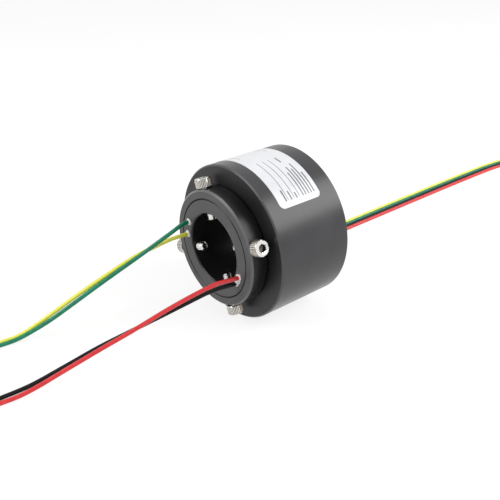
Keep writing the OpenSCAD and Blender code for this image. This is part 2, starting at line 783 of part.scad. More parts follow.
housing();
rear_cover();
rear_cover_screws();
label();
stator_lead_seal();
front_outer_race();
rear_outer_race();
brush_block();
brush_block_screws();
brush_1();
brush_2();
brush_3();
brush_4();
stator_wire_yellow();
stator_wire_green();
stator_wire_black();
stator_wire_red();
rotor_sleeve();
clamp_collar();
clamp_screw_1();
clamp_screw_2();
clamp_screw_3();
clamp_screw_4();
rotor_seal_left();
rotor_seal_right();
front_inner_race();
rear_inner_race();
retaining_ring();
insulator_1();
insulator_2();
insulator_3();
insulator_4();
insulator_5();
contact_ring_1();
contact_ring_2();
contact_ring_3();
contact_ring_4();
rotor_wire_green();
rotor_wire_yellow();
rotor_wire_red();
rotor_wire_black();
front_cage();
front_balls();
rear_cage();
rear_balls();
rotor_lead_green();
rotor_lead_yellow();
rotor_lead_red();
rotor_lead_black();
rotor_coil_left();
rotor_coil_right();
stator_lead_yellow();
stator_lead_green();
stator_lead_black();
stator_lead_red();
stator_coil();
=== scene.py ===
import json
import math

import bmesh
import bpy
from mathutils import Matrix, Vector, noise


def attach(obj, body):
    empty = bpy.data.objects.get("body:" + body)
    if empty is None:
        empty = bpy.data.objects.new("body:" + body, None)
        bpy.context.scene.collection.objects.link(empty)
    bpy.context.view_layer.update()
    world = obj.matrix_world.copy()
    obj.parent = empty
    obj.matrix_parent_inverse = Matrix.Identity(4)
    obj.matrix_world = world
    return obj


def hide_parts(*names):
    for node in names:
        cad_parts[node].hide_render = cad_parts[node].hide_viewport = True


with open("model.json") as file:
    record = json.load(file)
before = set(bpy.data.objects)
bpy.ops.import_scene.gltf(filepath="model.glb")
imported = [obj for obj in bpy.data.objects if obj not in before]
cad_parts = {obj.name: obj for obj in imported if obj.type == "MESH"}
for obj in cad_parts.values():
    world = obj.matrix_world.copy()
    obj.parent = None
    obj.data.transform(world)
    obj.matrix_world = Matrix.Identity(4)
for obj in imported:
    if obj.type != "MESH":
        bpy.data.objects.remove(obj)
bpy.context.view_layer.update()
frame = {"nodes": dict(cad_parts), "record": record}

MM = 0.001
NODES = frame["nodes"]

# sizes shared with the CAD model, in millimetres
FLOOR_Z = -34.0
HOUSING_R = 34.0
FACE_Y = -27.0
REAR_Y = 18.5
EXIT_R = 18.0
LEAD_D = 1.8
LEAD_REST_Z = FLOOR_Z + LEAD_D / 2
SCREW_Y = -23.6
SCREW_ANGLES = [21.5, 111.5, 201.5, 291.5]

# sizes of the clamp screws as drawn here, which differ from the CAD model's.
# Tip, seat and top are distances from the axis of the bore.
SCREW_TIP = 11.8
SCREW_SEAT = 25.8
SCREW_TOP = 29.8
SCREW_SIDES = 96
SHANK_R = 1.6
HEAD_R = 3.5
KNURL_DEPTH = 0.2
SOCKET_R = 1.75
SOCKET_DEPTH = 2.0
THREAD_PITCH = 0.7
THREAD_STEPS = 24


# ---------------------------------------------------------------- camera

LENS = 50.88
CAMERA_PLACE = (208.45, -179.54, 143.09)
CAMERA_RIGHT = (0.6375, 0.7705, 0.0)
CAMERA_AHEAD = (-0.6732, 0.5570, -0.4864)


def make_camera():
    camera_data = bpy.data.cameras.new("camera")
    camera_data.lens = LENS
    camera_data.sensor_width = 36.0
    camera_data.clip_start = 0.01
    camera_data.clip_end = 20.0
    camera = bpy.data.objects.new("camera", camera_data)
    bpy.context.scene.collection.objects.link(camera)
    right = Vector(CAMERA_RIGHT).normalized()
    ahead = Vector(CAMERA_AHEAD).normalized()
    up = right.cross(ahead).normalized()
    turn = Matrix((right, up, -ahead)).transposed()
    camera.matrix_world = Matrix.Translation(Vector(CAMERA_PLACE) * MM) @ turn.to_4x4()
    bpy.context.scene.camera = camera


make_camera()


# ---------------------------------------------------------------- node helpers

def add_node(tree, kind, **settings):
    node = tree.nodes.new(kind)
    for key, value in settings.items():
        setattr(node, key, value)
    return node


def bare_material(name):
    """A material with its output node alone."""
    material = bpy.data.materials.new(name)
    material.use_nodes = True
    tree = material.node_tree
    for node in list(tree.nodes):
        if node.type != "OUTPUT_MATERIAL":
            tree.nodes.remove(node)
    return material, tree, tree.nodes["Material Output"].inputs["Surface"]


def new_material(name):
    material, tree, surface = bare_material(name)
    shader = add_node(tree, "ShaderNodeBsdfPrincipled")
    tree.links.new(shader.outputs["BSDF"], surface)
    return material, tree, shader


def feed(tree, socket, value):
    """Links a socket to the value, or sets it where the value is a constant."""
    if isinstance(value, bpy.types.NodeSocket):
        tree.links.new(value, socket)
    else:
        socket.default_value = value


def maths(tree, operation, a, b=None):
    node = add_node(tree, "ShaderNodeMath", operation=operation)
    for socket, value in zip(node.inputs, (a, b)):
        if value is not None:
            feed(tree, socket, value)
    return node.outputs[0]


def object_coords(tree):
    return add_node(tree, "ShaderNodeTexCoord").outputs["Object"]


def separate(tree, vector):
    node = add_node(tree, "ShaderNodeSeparateXYZ")
    tree.links.new(vector, node.inputs[0])
    return node.outputs


def axis_place(tree):
    """Distance from the Y axis, and place along it."""
    x, y, z = separate(tree, object_coords(tree))[:3]
    square = maths(tree, "ADD", maths(tree, "MULTIPLY", x, x), maths(tree, "MULTIPLY", z, z))
    return maths(tree, "SQRT", square), y


def noise_value(tree, vector, scale, detail, roughness=0.5):
    node = add_node(tree, "ShaderNodeTexNoise")
    tree.links.new(vector, node.inputs["Vector"])
    feed(tree, node.inputs["Scale"], scale)
    node.inputs["Detail"].default_value = detail
    node.inputs["Roughness"].default_value = roughness
    return node.outputs["Fac"]


def to_range(tree, value, low, high, from_low=0.0, from_high=1.0):
    node = add_node(tree, "ShaderNodeMapRange")
    feed(tree, node.inputs["Value"], value)
    limits = (("From Min", from_low), ("From Max", from_high), ("To Min", low), ("To Max", high))
    for key, number in limits:
        feed(tree, node.inputs[key], number)
    return node.outputs["Result"]


def spread_noise(tree, value, low, high):
    """Stretches the middle of a noise, where most of its values lie, over a range."""
    return to_range(tree, value, low, high, 0.3, 0.7)


def rising(tree, value, start, end):
    return to_range(tree, value, 0.0, 1.0, start, end)


def falling(tree, value, start, end):
    return to_range(tree, value, 1.0, 0.0, start, end)


def mix_colour(tree, factor, a, b):
    node = add_node(tree, "ShaderNodeMix", data_type="RGBA")
    feed(tree, node.inputs["Factor"], factor)
    feed(tree, node.inputs["A"], a)
    feed(tree, node.inputs["B"], b)
    return node.outputs["Result"]


def bump(tree, height, distance, strength=1.0):
    node = add_node(tree, "ShaderNodeBump")
    feed(tree, node.inputs["Height"], height)
    node.inputs["Distance"].default_value = distance
    node.inputs["Strength"].default_value = strength
    return node.outputs["Normal"]


def rgba(colour):
    return (colour[0], colour[1], colour[2], 1.0)


# ---------------------------------------------------------------- shared effects

def new_group(name, inputs, outputs):
    """A node group with named number sockets, the sockets that feed it and those it puts out."""
    group = bpy.data.node_groups.new(name, "ShaderNodeTree")
    for label, value in inputs.items():
        socket = group.interface.new_socket(label, in_out="INPUT", socket_type="NodeSocketFloat")
        socket.default_value = value
    for label in outputs:
        group.interface.new_socket(label, in_out="OUTPUT", socket_type="NodeSocketFloat")
    given = add_node(group, "NodeGroupInput").outputs
    result = add_node(group, "NodeGroupOutput").inputs
    return group, given, result


def make_turned_marks():
    """Fine lathe lines: rings on faces square to the Y axis, hoops on surfaces round it."""
    group, given, result = new_group(
        "turned_marks", {"Line Scale": 9000.0, "Depth": 1.0}, ("Height", "Mask"))
    radius, along = axis_place(group)
    line = add_node(group, "ShaderNodeCombineXYZ")
    group.links.new(radius, line.inputs["X"])
    group.links.new(along, line.inputs["Y"])
    lines = noise_value(group, line.outputs[0], given["Line Scale"], 4.0, 0.7)
    group.links.new(maths(group, "MULTIPLY", lines, given["Depth"]), result["Height"])
    group.links.new(lines, result["Mask"])
    return group


def make_handling_marks():
    """Soft uneven patches, as left by fingers and by the finish itself, and a fine grain."""
    group, given, result = new_group("handling_marks", {"Patch Scale": 90.0}, ("Patches", "Grain"))
    place = object_coords(group)
    group.links.new(noise_value(group, place, given["Patch Scale"], 4.0), result["Patches"])
    group.links.new(noise_value(group, place, 5200.0, 2.0), result["Grain"])
    return group


def make_faced_areas():
    """Masks for the end faces, which are square to the Y axis, and for the chamfers round them.
    Each mask starts at a distance from the axis."""
    group, given, result = new_group(
        "faced_areas", {"Face Radius": 0.0, "Rim Radius": 0.0}, ("Faced", "Chamfer"))
    normal = add_node(group, "ShaderNodeTexCoord").outputs["Normal"]
    across = maths(group, "ABSOLUTE", separate(group, normal)[1])
    radius = axis_place(group)[0]
    on_face = maths(group, "GREATER_THAN", radius, given["Face Radius"])
    on_rim = maths(group, "GREATER_THAN", radius, given["Rim Radius"])
    faced = rising(group, across, 0.85, 0.95)
    sloped = maths(group, "MULTIPLY", rising(group, across, 0.35, 0.5), falling(group, across, 0.85, 0.95))
    group.links.new(maths(group, "MULTIPLY", faced, on_face), result["Faced"])
    group.links.new(maths(group, "MULTIPLY", sloped, on_rim), result["Chamfer"])
    return group


TURNED = make_turned_marks()
HANDLED = make_handling_marks()
FACED = make_faced_areas()


def use_group(tree, group, **values):
    node = add_node(tree, "ShaderNodeGroup", node_tree=group)
    for key, value in values.items():
        feed(tree, node.inputs[key.replace("_", " ")], value)
    return node.outputs


# ---------------------------------------------------------------- materials

def anodised(name, round_painted_light_tone, faced_painted_light_tone, chamfer_painted_highlight_tone, round_rough, faced_rough, specular, line_depth,
             face_radius, rim_radius):
    """Satin black anodised aluminium. The end faces and the surfaces round the axis have their own roughness
    and their own tone; these tones are painted light and shade, and the lighter chamfers are a painted
    highlight.
    """
    material, tree, shader = new_material(name)
    turned = use_group(tree, TURNED, Line_Scale=7000.0, Depth=line_depth)
    handled = use_group(tree, HANDLED, Patch_Scale=70.0)
    areas = use_group(tree, FACED, Face_Radius=face_radius * MM, Rim_Radius=rim_radius * MM)
    # painted light and shade: the end faces get one tone and the surfaces round the axis another
    base = mix_colour(tree, areas["Faced"], rgba(round_painted_light_tone), rgba(faced_painted_light_tone))
    # painted highlight: the chamfers get a lighter tone
    base = mix_colour(tree, areas["Chamfer"], base, rgba(chamfer_painted_highlight_tone))
    unevenness = maths(tree, "ADD", maths(tree, "MULTIPLY", handled["Patches"], 0.7),
                       maths(tree, "MULTIPLY", turned["Mask"], 0.3))
    shaded = add_node(tree, "ShaderNodeVectorMath", operation="SCALE")
    feed(tree, shaded.inputs[0], base)
    feed(tree, shaded.inputs["Scale"], spread_noise(tree, unevenness, 0.82, 1.18))
    tree.links.new(shaded.outputs[0], shader.inputs["Base Color"])
    rough = maths(tree, "ADD", to_range(tree, areas["Faced"], round_rough, faced_rough),
                  spread_noise(tree, unevenness, -0.05, 0.05))
    tree.links.new(rough, shader.inputs["Roughness"])
    shader.inputs["Specular IOR Level"].default_value = specular
    height = maths(tree, "ADD", turned["Height"], maths(tree, "MULTIPLY", handled["Grain"], 0.35))
    tree.links.new(bump(tree, height, 0.000012), shader.inputs["Normal"])
    return material


def plated(name, colour, rough, grain_scale):
    """Plated, ground or machined metal with faint tool lines."""
    material, tree, shader = new_material(name)
    handled = use_group(tree, HANDLED, Patch_Scale=260.0)
    grain = noise_value(tree, object_coords(tree), grain_scale, 3.0)
    darker = [c * 0.86 for c in colour]
    patches = rising(tree, handled["Patches"], 0.35, 0.65)
    tree.links.new(mix_colour(tree, patches, rgba(darker), rgba(colour)), shader.inputs["Base Color"])
    tree.links.new(spread_noise(tree, grain, rough - 0.05, rough + 0.07), shader.inputs["Roughness"])
    shader.inputs["Metallic"].default_value = 1.0
    tree.links.new(bump(tree, maths(tree, "MULTIPLY", grain, 0.5), 0.000006), shader.inputs["Normal"])
    return material


def moulded(name, dark, light, rough, grain_depth, specular=0.5):
    """Moulded plastic or cured rubber: slight colour drift and a fine skin."""
    material, tree, shader = new_material(name)
    patches = use_group(tree, HANDLED, Patch_Scale=340.0)
    drift = spread_noise(tree, patches["Patches"], 0.0, 1.0)
    tree.links.new(mix_colour(tree, drift, rgba(dark), rgba(light)), shader.inputs["Base Color"])
    finish = spread_noise(tree, patches["Patches"], rough - 0.06, rough + 0.08)
    tree.links.new(finish, shader.inputs["Roughness"])
    shader.inputs["Specular IOR Level"].default_value = specular
    tree.links.new(bump(tree, patches["Grain"], grain_depth), shader.inputs["Normal"])
    return material


# the label's corner: degrees round the housing, and place along it
LABEL_ANGLE = 42.0
LABEL_Y = -11.9
# printed bars, in millimetres from that corner: start and end round the housing, start and end along it
LABEL_BARS = [
    (3.0, 25.0, 5.1, 5.4), (3.0, 25.0, 8.3, 8.6), (3.0, 25.0, 11.1, 11.4),
    (2.6, 7.8, 3.7, 4.5), (2.6, 6.6, 6.6, 7.3), (2.6, 5.2, 9.4, 10.1),
    (2.6, 14.5, 12.9, 13.5), (2.6, 17.5, 14.4, 15.0), (2.6, 15.8, 15.9, 16.5),
    (2.6, 18.8, 17.4, 18.0), (2.6, 12.6, 18.9, 19.5),
    (21.0, 25.0, 14.8, 15.5), (33.5, 47.0, 3.3, 3.6), (33.5, 47.0, 17.9, 18.2),
]
INK_EDGE = 0.05


def label_film():
    """Pale silver film with a plain ruled form printed on it. No lettering."""
    material, tree, shader = new_material("label_film")
    x, y, z = separate(tree, object_coords(tree))[:3]
    turned = maths(tree, "SUBTRACT", maths(tree, "ARCTAN2", z, x), math.radians(LABEL_ANGLE))
    around = maths(tree, "MULTIPLY", turned, HOUSING_R)
    along = maths(tree, "MULTIPLY", maths(tree, "SUBTRACT", y, LABEL_Y * MM), 1 / MM)

    def band(value, low, high):
        return maths(tree, "MULTIPLY", rising(tree, value, low - INK_EDGE, low + INK_EDGE),
                     falling(tree, value, high - INK_EDGE, high + INK_EDGE))

    ink = None
    for start, end, low, high in LABEL_BARS:
        mark = maths(tree, "MULTIPLY", band(around, start, end), band(along, low, high))
        ink = mark if ink is None else maths(tree, "MAXIMUM", ink, mark)
    handled = use_group(tree, HANDLED, Patch_Scale=160.0)
    film = mix_colour(tree, spread_noise(tree, handled["Patches"], 0.0, 1.0),
                      rgba((0.80, 0.81, 0.84)), rgba((0.87, 0.88, 0.90)))
    worn = maths(tree, "MULTIPLY", ink, spread_noise(tree, handled["Grain"], 0.78, 0.95))
    tree.links.new(mix_colour(tree, worn, film, rgba((0.05, 0.05, 0.06))), shader.inputs["Base Color"])
    tree.links.new(spread_noise(tree, handled["Patches"], 0.26, 0.36), shader.inputs["Roughness"])
    tree.links.new(bump(tree, handled["Patches"], 0.00002, 0.5), shader.inputs["Normal"])
    return material


def insulation(colour, dark, light, rough, specular):
    return moulded("insulation_" + colour, dark, light, rough, 0.000006, specular)


FINISHES = {
    # housing: its end faces are painted darker, as shade
    "housing_black": anodised(
        "anodised_housing", round_painted_light_tone=(0.042, 0.042, 0.045), faced_painted_light_tone=(0.009, 0.009, 0.010),
        # housing: its front chamfer is painted lighter, a highlight
        chamfer_painted_highlight_tone=(0.070, 0.070, 0.074), round_rough=0.30, faced_rough=0.42, specular=0.40,
        line_depth=0.8, face_radius=0.0, rim_radius=33.0),
    # rotor: its front face is painted lighter and its collar darker, as light and shade
    "rotor_black": anodised(
        "anodised_rotor", round_painted_light_tone=(0.012, 0.012, 0.013), faced_painted_light_tone=(0.086, 0.086, 0.090),
        # rotor: its collar's chamfer is painted lighter, a highlight
        chamfer_painted_highlight_tone=(0.150, 0.150, 0.154), round_rough=0.26, faced_rough=0.48, specular=0.26,
        line_depth=1.2, face_radius=15.4, rim_radius=24.5),
    "screw_steel": plated("nickel_plate", (0.86, 0.85, 0.83), 0.16, 9000.0),
    # dark steel inside the hex socket: painted shade in the recess
    "socket_shade_steel": plated("socket_painted_shade", (0.13, 0.12, 0.10), 0.34, 9000.0),
    # darker steel for the faces in the knurl valleys: painted shade
    "knurl_shade_steel": plated("knurl_valley_painted_shade", (0.34, 0.31, 0.26), 0.30, 9000.0),
    "bearing_steel": plated("ground_steel", (0.64, 0.65, 0.67), 0.22, 6000.0),
    "ring_steel": plated("phosphated_spring_steel", (0.16, 0.16, 0.17), 0.42, 3000.0),
    "cage_brass": plated("machined_brass", (0.62, 0.45, 0.18), 0.30, 4000.0),
    "contact_gold": plated("gold_plate", (0.88, 0.66, 0.26), 0.18, 5000.0),
    "tinned_copper": plated("tinned_strands", (0.76, 0.75, 0.72), 0.30, 8000.0),
    "insulator": moulded("moulded_insulator", (0.62, 0.56, 0.42), (0.70, 0.64, 0.50), 0.45, 0.000008),
    "block_black": moulded("moulded_block", (0.035, 0.035, 0.038), (0.055, 0.055, 0.060), 0.48, 0.00001),
    "sealant": moulded("cured_sealant", (0.80, 0.80, 0.77), (0.90, 0.90, 0.88), 0.36, 0.00003),
    "label_silver": label_film(),
    "lead_yellow": insulation("yellow", (0.94, 0.91, 0.09), (0.98, 0.97, 0.16), 0.28, 0.45),
    "lead_green": insulation("green", (0.006, 0.20, 0.10), (0.013, 0.29, 0.16), 0.28, 0.34),
    "lead_red": insulation("red", (0.68, 0.022, 0.027), (0.84, 0.042, 0.046), 0.26, 0.50),
    "lead_black": insulation("black", (0.008, 0.008, 0.009), (0.014, 0.014, 0.016), 0.30, 0.16),
}
TIE_BLACK = moulded("tie_nylon", (0.020, 0.020, 0.022), (0.032, 0.032, 0.034), 0.40, 0.000006)

for part in frame["record"]["subparts"]:
    piece = NODES[part["node"]]
    piece.data.materials.clear()
    piece.data.materials.append(FINISHES[part["material_slot"]])


# ---------------------------------------------------------------- leads

# points that each lead runs through, from its exit to the start of its coil
ROUTES = {
    "rotor_lead_green": [
        (-16.9, -27.3, 6.2), (-16.8, -31, 6), (-17, -35.5, 4.2), (-19, -41.5, 0.5), (-23, -51, -6),
        (-27.5, -66, -14.5), (-31, -78, -21.5), (-34, -89, -27.5), (-37, -100, -32),
        (-38.5, -107, -33.1), (-40.1, -121.2, -33.1)],
    "rotor_lead_yellow": [
        (-18, -27.3, 0), (-18.3, -31, 0), (-20, -36, -1), (-22.5, -43, -3.5), (-25.2, -51, -6.5),
        (-29.5, -66, -14), (-33, -78, -20.5), (-36.3, -89, -27), (-39, -99, -32),
        (-40.5, -106, -33.1), (-42.1, -118.6, -33.1)],
    "rotor_lead_red": [
        (17, -27.3, -5.9), (16.4, -31, -5.9), (15.2, -35.5, -6), (13.2, -43.5, -7.8),
        (10.2, -56, -11.8), (6.5, -72, -17.8), (3.5, -85, -22.3), (0.5, -98, -27),
        (-2.2, -110, -31.3), (-4, -119, -33.1), (-5.9, -136.6, -33.1)],
    "rotor_lead_black": [
        (15.4, -27.3, -9.3), (15, -31, -9.3), (13.8, -35.5, -9.6), (12, -40, -10.8),
        (8.2, -55, -15), (4.2, -71, -19.4), (1, -84, -23), (-2.2, -97, -27.5),
        (-5.2, -109, -31.6), (-7, -118, -33.1), (-7.9, -139.2, -33.1)],
    "stator_lead_yellow": [
        (-26.9, 18.8, -12.7), (-26.9, 24, -13), (-27, 32, -15.5), (-27, 44, -21.5),
        (-26.8, 58, -28.3), (-26.5, 70, -32), (-26.3, 80, -33.1), (-26.2, 120, -33.1),
        (-26, 170, -33.1), (-25.2, 210, -33.1), (-22.95, 234.6, -33.1)],
    "stator_lead_green": [
        (-25.9, 18.8, -14.3), (-25.9, 24, -14.7), (-25.7, 32, -17.2), (-25.2, 44, -22.8),
        (-24.8, 58, -29), (-24.5, 70, -32.5), (-24.3, 78, -33.1), (-24.2, 120, -33.1),
        (-24, 170, -33.1), (-23.2, 210, -33.1), (-21, 232, -33.1)],
    "stator_lead_black": [
        (-24.8, 18.8, -16.2), (-24.8, 24, -16.6), (-24.3, 32, -19), (-23.4, 44, -24.3),
        (-22.8, 58, -29.8), (-22.4, 70, -32.9), (-22.3, 76, -33.1), (-22.2, 120, -33.1),
        (-22, 170, -33.1), (-21.2, 210, -33.1), (-19.05, 230.2, -33.1)],
    "stator_lead_red": [
        (-23.5, 18.8, -17.9), (-23.5, 24, -18.3), (-22.8, 32, -20.7), (-21.6, 44, -25.7),
        (-20.8, 58, -30.6), (-20.4, 69, -33), (-20.3, 74, -33.1), (-20.2, 120, -33.1),
        (-20, 170, -33.1), (-19.2, 210, -33.1), (-17.1, 228.9, -33.1)],
}
# where a coil lies, the side the leads come in at, in degrees, and the way round they turn
LEFT_COIL = dict(centre=(-52, -128), start=0.0, turn=-1)
RIGHT_COIL = dict(centre=(4, -146), start=180.0, turn=1)
REAR_COIL = dict(centre=(-9, 242), start=180.0, turn=-1)
COIL_RISE = 2.0
COIL_POINTS = 24
# from the exit to the end of the insulation
LEAD_LENGTH = 300.0

TIP_LENGTH = 5.0
TIP_OVERLAP = 0.4
TIP_STEPS = 14
STRANDS = 7
STRAND_R = 0.17
STRAND_SPREAD = 0.34
STRAND_TWIST = 95

TIE_WIDTH = 2.2
TIE_THICKNESS = 0.32
TIE_HEAD = (2.0, 1.0, 2.8)


def smooth_route(points, step):
    """Points on a smooth curve through the route's own, never below the resting height."""
    points = [Vector(p) for p in points]
    line = []
    for i in range(len(points) - 1):
        b, c = points[i], points[i + 1]
        a = points[i - 1] if i > 0 else 2 * b - c
        d = points[i + 2] if i < len(points) - 2 else 2 * c - b
        count = max(1, math.ceil((c - b).length / step))
        for k in range(count):
            t = k / count
            p = 0.5 * (2 * b + (c - a) * t + (2 * a - 5 * b + 4 * c - d) * t * t
                       + (3 * b - a - 3 * c + d) * t ** 3)
            p.z = max(p.z, LEAD_REST_Z)
            line.append(p)
    line.append(points[-1])
    return line


def line_length(points):
    return sum((b - a).length for a, b in zip(points, points[1:]))


def coil_point(coil, radius, turned):
    """A point on the coil, a given angle in degrees round from where the lead comes in."""
    a = math.radians(coil["start"] + coil["turn"] * turned)
    return Vector((coil["centre"][0] + radius * math.cos(a), coil["centre"][1] + radius * math.sin(a),
                   LEAD_REST_Z + COIL_RISE * turned / 360.0))


def lead_line(route, coil, radius, step):
    """The lead's centreline and the coil angle at its end."""
    entry = coil_point(coil, radius, 0.0)
    used = line_length(smooth_route(list(route) + [tuple(entry)], 0.5))
    per_degree = math.hypot(2 * math.pi * radius, COIL_RISE) / 360.0
    swept = (LEAD_LENGTH - used) / per_degree
    count = max(3, math.ceil(swept * COIL_POINTS / 360.0))
    points = smooth_route(route, step)
    points += [coil_point(coil, radius, swept * k / count) for k in range(count + 1)]
    return points, swept


def tube_curve(name, points, diameter, material, first):
    """One open spline through the points, with a round section. It sets off in a given direction."""
    data = bpy.data.curves.new(name, "CURVE")
    data.dimensions = "3D"
    data.bevel_depth = diameter / 2 * MM
    data.bevel_resolution = 4
    data.resolution_u = 4
    data.use_fill_caps = True
    spline = data.splines.new("BEZIER")
    spline.bezier_points.add(len(points) - 1)
    last = len(points) - 1
    for i, p in enumerate(points):
        before, after = points[max(i - 1, 0)], points[min(i + 1, last)]
        if i == 0:
            heading = Vector(first)
        elif i == last:
            bend = (before - points[last - 2]).normalized()
            heading = (2 * (p - before).normalized() - bend).normalized()
        else:
            heading = (after - before).normalized()
        knot = spline.bezier_points[i]
        knot.handle_left_type = knot.handle_right_type = "FREE"
        left = p - heading * (p - before).length / 3
        right = p + heading * (after - p).length / 3
        left.z, right.z = max(left.z, LEAD_REST_Z), max(right.z, LEAD_REST_Z)
        knot.co, knot.handle_left, knot.handle_right = p * MM, left * MM, right * MM
    piece = bpy.data.objects.new(name, data)
    bpy.context.scene.collection.objects.link(piece)
    data.materials.append(material)
    return piece


def finished(name, bm, material, smooth=True, crease=None):
    """Turns a bmesh, drawn in millimetres, into an object at the origin. Edges past the crease stay sharp."""
    bmesh.ops.scale(bm, vec=(MM, MM, MM), verts=bm.verts)
    bmesh.ops.recalc_face_normals(bm, faces=bm.faces)
    mesh = bpy.data.meshes.new(name)
    bm.to_mesh(mesh)
    bm.free()
    mesh.materials.append(material)
    if smooth:
        mesh.shade_smooth()
    if crease is not None:
        mesh.set_sharp_from_angle(angle=math.radians(crease))
    piece = bpy.data.objects.new(name, mesh)
    bpy.context.scene.collection.objects.link(piece)
    return piece


def place_mesh(bm, across, up, along, origin):
    """Lays a shape, drawn at the origin, along three directions."""
    place = Matrix((across, up, along)).transposed().to_4x4()
    place.translation = origin
    bmesh.ops.transform(bm, matrix=place, verts=bm.verts)


def bared_tip(name, coil, radius, swept):
    """Tinned strands, twisted, that carry on from the insulation round the coil."""
    bm = bmesh.new()
    for strand in range(STRANDS):
        spread = 0.0 if strand == 0 else STRAND_SPREAD
        ring_before = None
        for k in range(TIP_STEPS + 1):
            run = TIP_LENGTH * k / TIP_STEPS
            turned = swept + math.degrees((run - TIP_OVERLAP) / radius)
            here, ahead = coil_point(coil, radius, turned), coil_point(coil, radius, turned + 0.5)
            along = (ahead - here).normalized()
            side = along.cross(Vector((0, 0, 1))).normalized()
            top = side.cross(along)
            twist = math.radians(360 / (STRANDS - 1) * strand + STRAND_TWIST * run)
            made = bmesh.ops.create_circle(bm, segments=8, radius=STRAND_R, cap_ends=k in (0, TIP_STEPS))
            place = Matrix((side, top, along)).transposed().to_4x4()
            place.translation = here + spread * (math.cos(twist) * side + math.sin(twist) * top)
            bmesh.ops.transform(bm, matrix=place, verts=made["verts"])
            edges = list({e for v in made["verts"] for e in v.link_edges})
            if ring_before is not None:
                bmesh.ops.bridge_loops(bm, edges=edges + ring_before)
            ring_before = edges
    return finished(name, bm, FINISHES["tinned_copper"])


def coil_tie(name, coil, at, inner, outer, top):
    """A narrow nylon tie round the turns of a coil, with its locking head on top."""
    bm = bmesh.new()
    tall = top - FLOOR_Z
    made = bmesh.ops.create_grid(bm, x_segments=1, y_segments=1, size=0.5)
    bmesh.ops.scale(bm, vec=(outer - inner, tall, 1), verts=made["verts"])
    bmesh.ops.bevel(bm, geom=bm.verts[:], offset=0.7, offset_type="OFFSET", segments=4, profile=0.5,
                    affect="VERTICES", material=-1)
    wide = bmesh.ops.extrude_face_region(bm, geom=bm.faces[:])
    far_side = [v for v in wide["geom"] if isinstance(v, bmesh.types.BMVert)]
    bmesh.ops.translate(bm, vec=(0, 0, TIE_WIDTH), verts=far_side)
    caps = [f for f in bm.faces if abs(f.normal.z) > 0.9]
    bmesh.ops.recalc_face_normals(bm, faces=bm.faces)
    bmesh.ops.inset_region(bm, faces=caps, thickness=TIE_THICKNESS, use_even_offset=True)
    openings = [e for f in caps for e in f.edges]
    bmesh.ops.delete(bm, geom=caps, context="FACES_ONLY")
    bmesh.ops.bridge_loops(bm, edges=openings)
    head = bmesh.ops.create_cube(bm, size=1.0)
    bmesh.ops.scale(bm, vec=TIE_HEAD, verts=head["verts"])
    bmesh.ops.translate(bm, vec=(0.3, tall / 2 + 0.1, TIE_WIDTH / 2), verts=head["verts"])
    a = math.radians(at)
    radial = Vector((math.cos(a), math.sin(a), 0))
    around = Vector((-math.sin(a), math.cos(a), 0))
    middle = Vector((coil["centre"][0], coil["centre"][1], (FLOOR_Z + top) / 2))
    place_mesh(bm, radial, Vector((0, 0, 1)), around,
               middle + radial * (inner + outer) / 2 - around * TIE_WIDTH / 2)
    return finished(name, bm, TIE_BLACK, smooth=False)


LEADS = [
    # body, colour, coil, radius in the coil, CAD coil that the lead also stands for
    ("rotor", "green", LEFT_COIL, 11.9, ["rotor_coil_left"]),
    ("rotor", "yellow", LEFT_COIL, 9.9, []),
    ("rotor", "red", RIGHT_COIL, 9.9, ["rotor_coil_right"]),
    ("rotor", "black", RIGHT_COIL, 11.9, []),
    ("stator", "yellow", REAR_COIL, 13.95, ["stator_coil"]),
    ("stator", "green", REAR_COIL, 12.0, []),
    ("stator", "black", REAR_COIL, 10.05, []),
    ("stator", "red", REAR_COIL, 8.1, []),
]
# direction out of the exit, and step between the points of the free run
LEAD_WAYS = {"rotor": ((0, -1, 0), 5.0), "stator": ((0, 1, 0), 9.0)}
TIES = {
    # name, coil, angle round it in degrees, inner and outer radius, height of its top
    "rotor_lead_green": ("left_coil_tie", LEFT_COIL, 60.0, 8.7, 13.0, -26.4),
    "rotor_lead_red": ("right_coil_tie", RIGHT_COIL, 0.0, 8.7, 13.0, -26.6),
    "stator_lead_yellow": ("rear_coil_tie", REAR_COIL, 250.0, 6.9, 15.1, -29.4),
}

for body, colour, coil, radius, coil_nodes in LEADS:
    name = "%s_lead_%s" % (body, colour)
    finish_slot = "lead_" + colour
    stands_for = [name] + coil_nodes
    way_out, step = LEAD_WAYS[body]
    points, swept = lead_line(ROUTES[name], coil, radius, step)
    lead = tube_curve(name + "_cord", points, LEAD_D, FINISHES[finish_slot], way_out)
    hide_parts(*stands_for)
    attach(lead, body)
    tip = bared_tip(name + "_tip", coil, radius, swept)
    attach(tip, body)
    if name in TIES:
        tie = coil_tie(*TIES[name])
        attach(tie, body)


# ---------------------------------------------------------------- sealant

def sealant_bead(name, radius, angle, half_length, half_width, height, y_plane, outward, seed):
    """A cured blob over lead exits: a flattened ball, stretched along a circle round the axis."""
    bm = bmesh.new()
    bmesh.ops.create_icosphere(bm, subdivisions=4, radius=1.0)
    for v in bm.verts:
        broad = noise.noise(v.co * 1.7 + Vector((seed, 0, 0)))
        fine = noise.noise(v.co * 5 + Vector((0, seed, 0)))
        wander = 1 + 0.16 * broad + 0.05 * fine
        a, b, c = v.co.x * wander, v.co.y * wander, v.co.z
        lift = c * height * wander if c > 0 else c * 0.1
        turn = math.radians(angle) + a * half_length / radius
        r = radius + b * half_width
        v.co = Vector((r * math.cos(turn), y_plane + outward * lift, r * math.sin(turn)))
    return finished(name, bm, FINISHES["sealant"])


